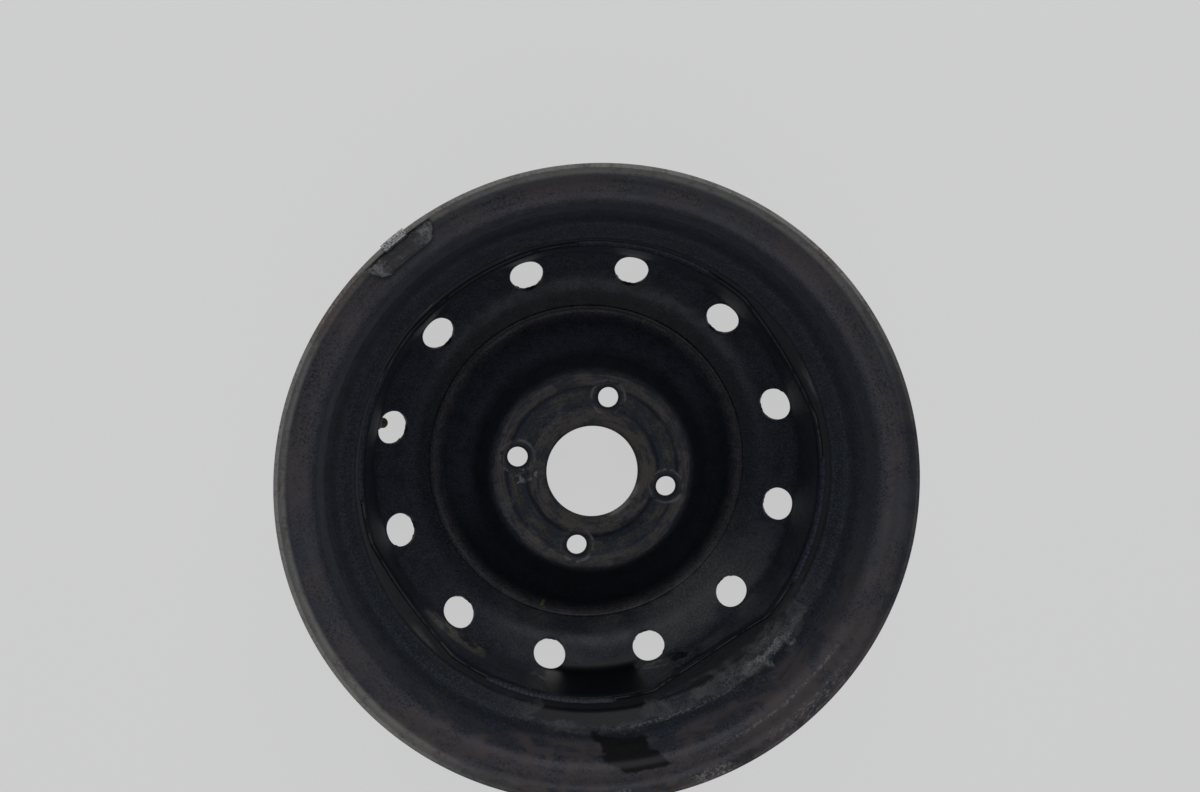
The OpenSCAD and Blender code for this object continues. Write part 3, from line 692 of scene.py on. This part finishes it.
def rim_paint(tints):
    """Brown-black dusty paint on the flanges, blue-black on seats and well, rust and rub on the lip; painted
    light in part low on the flanges, on the seats and on the lip's upper-left side, painted shade in the well
    beside the disc and a painted highlight at the flange's root.
    """
    w = Wiring("rim paint")
    r = w.radius()
    deep, black, film, worn = (tuple(tint) for tint in (tints.deep, tints.black, tints.film, tints.worn))
    large = w.noise(20.0, 5.0, 0.6, 0.6)
    middle = w.noise(85.0, 6.0, 0.65, 0.5)
    fine = w.noise(560.0, 4.0, 0.7)
    around_it = w.noise(1.0, 5.0, 0.65, 0.2, w.polar(700.0, 2.2, 700.0))
    tone = w.zones(r, [
        # Painted shade: deep black on the well floor where it meets the disc's skirt.
        (155, deep), (157.6, deep), (158.6, film), (160, black), (163, black),
        # The seats' lighter tone is partly painted light.
        (167, film), (168.5, black), (170, black), (172, film), (174, tints.seat), (175.5, tints.seat),
        (179.5, worn), (188, worn), (191, tints.seat), (194, black), (200, black)])
    tone = w.colour(w.step(middle, 0.42, 0.66), tone, w.grey(0.3, tone))
    tone = w.grained(tone, w.noise(820.0, 5.0, 0.75), tints.dust, 0.5)
    flange = w.both(w.step(r, 0.1745, 0.1795), w.step(w.z, 0.060, 0.074))
    brown = w.both(flange, w.step(w.blend(0.25, w.blend(0.4, large, middle), around_it), 0.42, 0.60))
    tone = w.over(tone, tints.brown, brown, 0.7)
    blue = w.both(flange, w.step(w.noise(26.0, 4.0, 0.6, 1.5), 0.50, 0.66))
    tone = w.over(tone, tints.seat, blue, 0.6)
    # Partly brown dirt, partly painted light: the lower half of the outer rim, which faces up to the light,
    # takes the lighter brown tint.
    low_half = w.step(w.math("ABSOLUTE", w.angle_from(290.0)), math.radians(80), math.radians(35))
    brown_and_lit_low = w.both(low_half, w.step(w.blend(0.4, large, middle), 0.44, 0.56))
    tone = w.over(tone, tints.brown, brown_and_lit_low, w.step(w.z, 0.058, 0.068), 0.9)
    lint = w.both(w.step(fine, 0.54, 0.68), w.step(middle, 0.45, 0.62))
    tone = w.over(tone, tints.dust, lint, w.step(r, 0.178, 0.181), 0.4)
    inner_wall = w.step(w.z, 0.030, 0.038)
    low_wall = w.both(w.patch(290.0, 345.0, 0.1565, 0.1672, 0.3, 8.0, 0.0012, 40.0), inner_wall)
    low_wall = w.either(low_wall, w.patch(262.0, 300.0, 0.1590, 0.1672, 0.3, 8.0, 0.0012, 40.0))
    scuff = w.patch(312.0, 336.0, 0.1610, 0.1668, 0.35, 7.0, 0.0016, 60.0)
    core = w.patch(320.0, 333.0, 0.1630, 0.1668, 0.20, 4.0, 0.0010, 90.0)
    scratchy = w.noise(680.0, 8.0, 0.85)
    scuff = w.either(w.both(scuff, 0.45, w.step(scratchy, 0.46, 0.64)),
                     w.both(core, 0.85, w.step(scratchy, 0.40, 0.58)))
    dust = w.both(low_wall, w.step(w.blend(0.6, scratchy, middle), 0.38, 0.66))
    tone = w.over(tone, tints.dust, dust, 0.75)
    tone = w.over(tone, tints.bare, scuff, inner_wall)
    crease = w.both(w.patch(284.0, 330.0, 0.1668, 0.1680, 0.02, 3.0, 0.0004), w.step(fine, 0.46, 0.62))
    # Painted highlight: a pale streak, in the rubbed-steel tint, along the flange's root.
    root_highlight = w.both(w.patch(306.0, 338.0, 0.1800, 0.1820, 0.05, 4.0, 0.0007), w.step(fine, 0.44, 0.62))
    tone = w.over(tone, tints.bare, w.either(crease, root_highlight), 0.5)
    edge = w.both(w.step(w.z, 0.0885, 0.0920), w.step(r, 0.1895, 0.1915))
    # Partly weathering, partly painted light: the olive-grey lip is kept to the upper-left side, where the
    # light falls, and is faint on the other side.
    lit_side = w.step(w.math("ABSOLUTE", w.angle_from(147.0)), math.radians(125), math.radians(85))
    weathered_and_lit = w.both(edge, w.blend(lit_side, 0.05, 1.0))
    weathered_and_lit = w.both(weathered_and_lit, w.blend(w.step(w.blend(0.5, fine, middle), 0.36, 0.52), 0.45, 1.0))
    tone = w.over(tone, tints.lip, weathered_and_lit)
    lip_rub = w.patch(316.0, 336.0, 0.1895, 0.1935, 0.1, 5.0, 0.0008)
    lip_rub = w.both(lip_rub, w.step(w.noise(1.0, 5.0, 0.8, 0.0, w.polar(1200.0, 60.0, 300.0)), 0.50, 0.62))
    tone = w.over(tone, tints.bare, lip_rub, 0.7)
    scratch = w.either(w.patch(299.0, 307.0, 0.1925, 0.1940), w.patch(284.0, 287.0, 0.1925, 0.1940))
    scratch = w.both(scratch, w.step(w.noise(1.0, 4.0, 0.7, 0.0, w.polar(900.0, 90.0, 300.0)), 0.50, 0.58))
    tone = w.over(tone, tints.scratch, scratch, w.step(w.z, 0.086, 0.092))
    rusty = w.step(w.noise(75.0, 6.0, 0.7, 0.6), 0.56, 0.68)
    rusty = w.either(rusty, w.both(w.patch(146.0, 163.0, 0.1885, 0.200, 0.3, 4.0), w.step(fine, 0.38, 0.56)))
    tone = w.over(tone, tints.rust, rusty, edge, 0.6)
    spill = w.patch(271.0, 296.5, 0.1500, 0.1655, 0.12, 0.7, 0.0006, 70.0, -6.0)
    stain = w.patch(280.0, 291.0, 0.1700, 0.1825, 0.13, 0.7, 0.0012, 70.0, 6.0)
    wet = w.both(w.either(spill, stain), w.step(w.z, 0.0, 0.01))
    tone = w.over(tone, tints.wet, wet, 0.92)
    rough = w.blend(w.step(middle, 0.35, 0.65), 0.30, 0.46)
    wall = w.both(w.step(w.z, 0.040, 0.044), w.step(r, 0.1715, 0.1695))
    rough = w.blend(w.either(brown, wall, w.either(dust, edge)), rough, DUSTY_ROUGH)
    rough = w.blend(wet, rough, STAIN_ROUGH)
    skin = w.bump(large, 0.3, 0.0012)
    skin = w.bump(fine, 0.22, 0.00015, skin)
    skin = w.bump(around_it, 0.22, 0.00015, skin)
    return w.finish(tone, rough, skin, **THIN_SHINE, **DUSTY)


def weld_paint(tints):
    """Thick black paint over a weld, with dirt between the ripples."""
    w = Wiring("weld paint")
    specks = w.noise(420.0, 5.0, 0.7)
    tone = w.colour(w.step(specks, 0.42, 0.62), tints.black, tints.seat)
    return w.finish(tone, w.blend(specks, 0.40, 0.60), w.bump(specks, 0.4, 0.0003), **THIN_SHINE)


def lead_finish(tints):
    w = Wiring("oxidised lead")
    blotch = w.noise(260.0, 5.0, 0.65, 0.4)
    away = w.math("ABSOLUTE", w.angle_from(math.degrees(WEIGHT_AT)))
    ends = w.step(away, 0.045, 0.095)
    lumps = w.blend(0.5, blotch, w.noise(620.0, 4.0, 0.7))
    pale = w.both(w.step(w.math("ADD", lumps, w.both(ends, 0.12)), 0.50, 0.72), w.blend(ends, 0.5, 1.0))
    tone = w.colour(pale, tints.lead, tints.oxide)
    skin = w.bump(blotch, 0.5, 0.0004)
    return w.finish(tone, w.blend(pale, 0.42, 0.75), skin, Metallic=0.25)


def clip_finish(tints):
    w = Wiring("clip steel")
    speck = w.noise(900.0, 4.0, 0.7)
    tone = w.colour(w.step(speck, 0.48, 0.62), tints.steel, tints.speck)
    return w.finish(tone, w.blend(speck, 0.25, 0.5), w.bump(speck, 0.3, 0.0001), Metallic=0.85)


def rubber_finish(tints):
    w = Wiring("valve rubber")
    return w.finish(tints.rubber, 0.6, w.bump(w.noise(700.0), 0.2, 0.0001))


def brass_finish(name, tone):
    w = Wiring(name)
    stain = w.noise(420.0, 4.0, 0.6)
    shade = w.colour(w.step(stain, 0.45, 0.65), tone, tuple(0.55 * c for c in tone))
    return w.finish(shade, w.blend(stain, 0.3, 0.5), Metallic=0.7)


def seal_finish(tints):
    return Wiring("seal plastic").finish(tints.seal, 0.4)


def floor_finish(tone):
    """A pale floor that keeps its tone for the camera and in reflections, and still takes shadows."""
    w = Wiring("pale floor")
    w.tree.nodes.remove(w.shader)
    rays = w.node("ShaderNodeLightPath").outputs
    seen = w.either(rays["Is Camera Ray"], rays["Is Glossy Ray"], rays["Is Transmission Ray"])
    lit = w.node("ShaderNodeBsdfDiffuse")
    glow = w.node("ShaderNodeEmission")
    for part in (lit, glow):
        part.inputs["Color"].default_value = (tone, tone, tone, 1.0)
    mixed = w.node("ShaderNodeMixShader")
    w.join(w.both(seen, 0.8), mixed.inputs[0])
    w.join(lit.outputs[0], mixed.inputs[1])
    w.join(glow.outputs[0], mixed.inputs[2])
    w.join(mixed.outputs[0], w.output.inputs[0])
    return w.material


# Operators

class WHEEL_OT_rim(bpy.types.Operator):
    """Spins the rim from its own section, with rounded edges and the valve hole"""
    bl_idname = "wheel.rim"
    bl_label = "Rim"

    def execute(self, context):
        sizes = context.scene.wheel_sizes
        bm = section_of("rim", RIM_CUT)
        round_corners(bm, sizes.edge_round)
        spun(bm, sizes.rim_steps)
        bmesh.ops.scale(bm, vec=(INSIDE, INSIDE, 1.0), verts=bm.verts)
        piece = as_object(bm, "rim_shell")
        cut(piece, bars("valve hole", [valve_place(sizes)], sizes.valve_hole, 20 * MM))
        round_cut_edges(piece, CUT_ROUND_RIM)
        smooth(piece)
        dressed(piece, rim_paint(context.scene.wheel_paint), ["rim"])
        return {"FINISHED"}


def valve_place(sizes):
    """Where the valve goes through the well's outer wall: its Z points out of the tyre side."""
    at = Vector((-sizes.valve_radius, 0, sizes.valve_height))
    return Matrix.Translation(at) @ around(math.pi) @ Matrix.Rotation(math.pi + sizes.valve_lean, 4, "Y")


class WHEEL_OT_disc(bpy.types.Operator):
    """Spins the disc from its own section, presses its bolt pads and dips and cuts its holes"""
    bl_idname = "wheel.disc"
    bl_label = "Disc"

    def execute(self, context):
        sizes = context.scene.wheel_sizes
        bm = section_of("disc", DISC_CUT)
        round_corners(bm, sizes.edge_round)
        split_long(bm, HUB_STEP, HUB_FROM, HUB_TO)
        spun(bm, sizes.disc_steps)
        press_pads(bm, sizes)
        lower_skirt(bm, sizes)
        piece = as_object(bm, "disc_shell")
        vents = [around(k * FULL_TURN / sizes.vent_count)
                 @ Matrix.Translation((sizes.vent_radius, 0, sizes.vent_height))
                 @ Matrix.Rotation(-sizes.vent_tilt, 4, "Y") for k in range(sizes.vent_count)]
        cut(piece, bars("vents", vents, sizes.vent_diameter, 26 * MM))
        round_cut_edges(piece, CUT_ROUND_DISC)
        bolts = [around(k * QUARTER) @ Matrix.Translation((sizes.bolt_radius, 0, 0)) for k in range(4)]
        cut(piece, turned_cutter("bolt holes", bolts, bolt_profile(sizes)))
        smooth(piece)
        dressed(piece, disc_paint(context.scene.wheel_paint, sizes), ["disc"])
        return {"FINISHED"}


def bolt_profile(sizes):
    """Radius and height along a bolt hole: the conical seat, the hole and their eased edges."""
    hole = sizes.bolt_hole / 2
    mouth = hole + (sizes.seat_end - sizes.boss_height) * math.tan(SEAT_SLOPE)
    low = Vector((mouth, sizes.boss_height))
    seat = Vector((hole, sizes.seat_end))
    top = Vector((hole, sizes.pad_height))
    clear = Vector((0, 0.02 * MM))
    lower = corner(seat, low, low + Vector((1, 0)), sizes.edge_round)
    upper = corner(seat, top, top + Vector((1, 0)), sizes.edge_round)
    lower[-1] -= clear
    upper[-1] += clear
    ends = [Vector((lower[-1].x, -40 * MM)), Vector((upper[-1].x, 20 * MM))]
    return ([Vector((0, ends[0].y)), ends[0]] + lower[::-1] + [seat] + upper
            + [ends[1], Vector((0, ends[1].y))])


def press_pads(bm, sizes):
    """Presses a dimple into the hub side around each bolt hole and a boss out of the other side."""
    for vert in bm.verts:
        radius = math.hypot(vert.co.x, vert.co.y)
        if abs(radius - sizes.bolt_radius) > BOSS[1] + 1 * MM:
            continue
        azimuth = round(math.atan2(vert.co.y, vert.co.x) / QUARTER) * QUARTER
        centre = around(azimuth) @ Vector((sizes.bolt_radius, 0, 0))
        away = math.hypot(vert.co.x - centre.x, vert.co.y - centre.y)
        if vert.normal.z > 0:
            vert.co.z += (sizes.pad_height - vert.co.z) * fade(away, *DIMPLE)
        else:
            vert.co.z += (sizes.boss_height - vert.co.z) * fade(away, *BOSS)


def dip_curve(sizes):
    """Radius of a dip of the skirt's edge."""
    return (sizes.dip_width ** 2 / 4 + sizes.dip_depth ** 2) / (2 * sizes.dip_depth)


def lower_skirt(bm, sizes):
    """Lowers the skirt's edge in four dips midway between the bolts."""
    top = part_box("disc")[1].z
    foot = top - DIP_FADE
    curve = dip_curve(sizes)
    for vert in bm.verts:
        radius = math.hypot(vert.co.x, vert.co.y)
        if vert.co.z < foot or radius < sizes.vent_radius:
            continue
        nearest = min(abs(turned_from(vert, math.radians(a))) for a in (45, 135, 225, 315))
        reach = radius * math.sin(nearest)
        drop = sizes.dip_depth - curve + math.sqrt(max(0.0, curve ** 2 - reach ** 2))
        if nearest < 1 and drop > 0:
            vert.co.z -= drop * min(1.0, (vert.co.z - foot) / (top - EDGE_LAND - foot))


class WHEEL_OT_welds(bpy.types.Operator):
    """Lays the four rippled weld beads along the skirt's edge"""
    bl_idname = "wheel.welds"
    bl_label = "Weld beads"

    def execute(self, context):
        sizes = context.scene.wheel_sizes
        finish = weld_paint(context.scene.wheel_paint)
        lo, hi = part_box("disc_weld_1")
        half = math.atan2(hi.y, lo.x + 5 * MM)
        for number in range(4):
            azimuth = number * QUARTER
            bm = section_of("disc_weld_1", sizes.weld_cut)
            round_corners(bm, 0.3 * MM)
            spun(bm, sizes.weld_steps, 2 * half)
            ripple(bm, sizes, half)
            bmesh.ops.transform(bm, matrix=around(azimuth - half), verts=bm.verts)
            piece = as_object(bm, f"weld_bead_{number + 1}")
            smooth(piece, 60.0)
            dressed(piece, finish, [f"disc_weld_{number + 1}"])
        return {"FINISHED"}


def ripple(bm, sizes, half):
    """Draws a bead in towards its root between its ripples and at its ends."""
    root = Vector((max(v.co.xy.length for v in bm.verts), min(v.co.z for v in bm.verts)))
    for vert in bm.verts:
        along = turned_from(vert, 0.0) * root.x
        radius = vert.co.xy.length
        away = math.hypot(radius - root.x, vert.co.z - root.y)
        phase = (along / sizes.ripple_pitch + RIPPLE_BOW * math.cos(away / BOW_WIDTH)) % 1.0
        grown = (1 - BEAD_SLIM) * math.sqrt(phase) if phase < BEAD_PEAK else BEAD_DROP * (1 - phase)
        end = min(along, 2 * half * root.x - along)
        size = (BEAD_SLIM + grown) * (1 - (1 - BEAD_END) * fade(end, 0.0, BEAD_TAPER))
        wider = root.x + (radius - root.x) * size
        vert.co.x, vert.co.y = vert.co.x * wider / radius, vert.co.y * wider / radius
        vert.co.z = root.y + (vert.co.z - root.y) * size
    bm.normal_update()


class WHEEL_OT_weight(bpy.types.Operator):
    """Casts the balance weight's lead and finishes its clip"""
    bl_idname = "wheel.weight"
    bl_label = "Balance weight"

    def execute(self, context):
        tints = context.scene.wheel_paint
        body = as_object(merged_copy("weight_body"), "weight_body_cast")
        skin = body.modifiers.new("cast skin", "REMESH")
        skin.mode = "VOXEL"
        skin.voxel_size = 0.45 * MM
        skin.use_smooth_shade = True
        settle(body)
        round_ends(body.data)
        soft = body.modifiers.new("soft edges", "SMOOTH")
        soft.iterations = 5
        clouds = bpy.data.textures.new("cast lead", "CLOUDS")
        clouds.noise_scale = 4 * MM
        uneven = body.modifiers.new("uneven casting", "DISPLACE")
        uneven.texture = clouds
        uneven.strength = 0.35 * MM
        uneven.mid_level = 0.6
        dressed(body, lead_finish(tints), ["weight_body"])
        refined("weight_clip", clip_finish(tints), 0.2 * MM)
        return {"FINISHED"}


def round_ends(mesh):
    """Rounds the two ends of the weight where they face the wheel's axis."""
    far = [turned_from(v, WEIGHT_AT) for v in mesh.vertices]
    reach = max(abs(a) for a in far)
    outer = max(v.co.xy.length for v in mesh.vertices)
    for vert, azimuth in zip(mesh.vertices, far):
        late = max(0.0, abs(azimuth) / reach - END_STARTS) / (1 - END_STARTS)
        keep = END_KEEPS + (1 - END_KEEPS) * math.sqrt(max(0.0, 1 - late * late))
        radius = vert.co.xy.length
        share = (outer - (outer - radius) * keep) / radius
        vert.co.x *= share
        vert.co.y *= share


class WHEEL_OT_valve(bpy.types.Operator):
    """Finishes the tyre valve and its core"""
    bl_idname = "wheel.valve"
    bl_label = "Tyre valve"

    def execute(self, context):
        tints = context.scene.wheel_paint
        nodes = frame["nodes"]
        rubber = rubber_finish(tints)
        core = brass_finish("core brass", tints.core)
        refined("valve_rubber", rubber, 0.3 * MM)
        refined("valve_stem", brass_finish("stem brass", tints.brass))
        refined("core_housing", core)
        refined("core_seal", seal_finish(tints))
        paint(nodes["core_cup_seal"], rubber)
        paint(nodes["core_pin"], core)
        paint(nodes["core_spring"], clip_finish(tints))
        return {"FINISHED"}


class WHEEL_OT_stage(bpy.types.Operator):
    """Puts up the floor, the lamps and the camera"""
    bl_idname = "wheel.stage"
    bl_label = "Stage"

    def execute(self, context):
        stage = context.scene.wheel_stage
        ground = Matrix.Translation((0, 0, cad_box[0].z - 0.1 * MM))
        bm = bmesh.new()
        bmesh.ops.create_grid(bm, x_segments=1, y_segments=1, size=6.0, matrix=ground)
        floor = as_object(bm, "floor")
        paint(floor, floor_finish(stage.floor_tone))
        context.scene.world = studio_walls(around_it=0.40, above=0.06)
        lamp("top softbox", STANDING_UP, 10.0)
        lamp("fill softbox", STANDING_UP + 180.0, 5.0)
        lens = bpy.data.cameras.new("photo camera")
        lens.sensor_width = 36.0
        lens.lens = stage.camera_lens
        lens.shift_x, lens.shift_y = stage.camera_shift
        lens.clip_start, lens.clip_end = 0.01, 50.0
        camera = bpy.data.objects.new("photo camera", lens)
        camera.location = stage.camera_place
        camera.rotation_euler = Euler(stage.camera_turn, "XYZ")
        context.scene.collection.objects.link(camera)
        context.scene.camera = camera
        context.scene.view_settings.view_transform = "Standard"
        return {"FINISHED"}


def studio_walls(around_it, above):
    """A world that is brighter around the object than above it, as pale walls make it."""
    world = bpy.data.worlds.new("studio walls")
    world.use_nodes = True
    nodes, links = world.node_tree.nodes, world.node_tree.links
    sky = nodes["Background"]
    sky.inputs["Color"].default_value = (0.80, 0.86, 1.0, 1.0)
    parts = nodes.new("ShaderNodeSeparateXYZ")
    fall = nodes.new("ShaderNodeMapRange")
    fall.interpolation_type = "SMOOTHSTEP"
    fall.inputs["From Max"].default_value = 0.9
    fall.inputs["To Min"].default_value = around_it
    fall.inputs["To Max"].default_value = above
    links.new(nodes.new("ShaderNodeTexCoord").outputs["Generated"], parts.inputs[0])
    links.new(parts.outputs[2], fall.inputs["Value"])
    links.new(fall.outputs[0], sky.inputs["Strength"])
    return world


def lamp(name, azimuth, power, elevation=45.0, distance=1.7, size=1.6):
    """A square softbox that looks at the wheel, at angles in degrees."""
    light = bpy.data.lights.new(name, "AREA")
    light.shape = "SQUARE"
    light.size = size
    light.energy = power
    a, e = math.radians(azimuth), math.radians(elevation)
    back = Vector((math.cos(a) * math.cos(e), math.sin(a) * math.cos(e), math.sin(e)))
    holder = bpy.data.objects.new(name, light)
    holder.location = back * distance
    holder.rotation_euler = (-back).to_track_quat("-Z", "Y").to_euler()
    bpy.context.scene.collection.objects.link(holder)


class WHEEL_PT_panel(bpy.types.Panel):
    """Lists the steps that dress the wheel"""
    bl_idname = "WHEEL_PT_panel"
    bl_label = "Steel wheel"
    bl_space_type = "VIEW_3D"
    bl_region_type = "UI"
    bl_category = "Wheel"

    def draw(self, context):
        for step in STEPS:
            self.layout.operator(step.bl_idname)
        for group in (context.scene.wheel_sizes, context.scene.wheel_paint, context.scene.wheel_stage):
            box = self.layout.box()
            for key in group.bl_rna.properties.keys():
                if key not in ("name", "rna_type"):
                    box.prop(group, key)


STEPS = (WHEEL_OT_rim, WHEEL_OT_disc, WHEEL_OT_welds, WHEEL_OT_weight, WHEEL_OT_valve, WHEEL_OT_stage)
GROUPS = (("wheel_sizes", WheelSizes), ("wheel_paint", WheelPaint), ("wheel_stage", WheelStage))


def register():
    for name, group in GROUPS:
        bpy.utils.register_class(group)
        setattr(bpy.types.Scene, name, bpy.props.PointerProperty(type=group))
    for made in STEPS + (WHEEL_PT_panel,):
        bpy.utils.register_class(made)


def unregister():
    for made in (WHEEL_PT_panel,) + STEPS[::-1]:
        bpy.utils.unregister_class(made)
    for name, group in GROUPS[::-1]:
        delattr(bpy.types.Scene, name)
        bpy.utils.unregister_class(group)


def main():
    register()
    bpy.ops.wheel.rim()
    bpy.ops.wheel.disc()
    bpy.ops.wheel.welds()
    bpy.ops.wheel.weight()
    bpy.ops.wheel.valve()
    bpy.ops.wheel.stage()


if __name__ == "__main__":
    main()
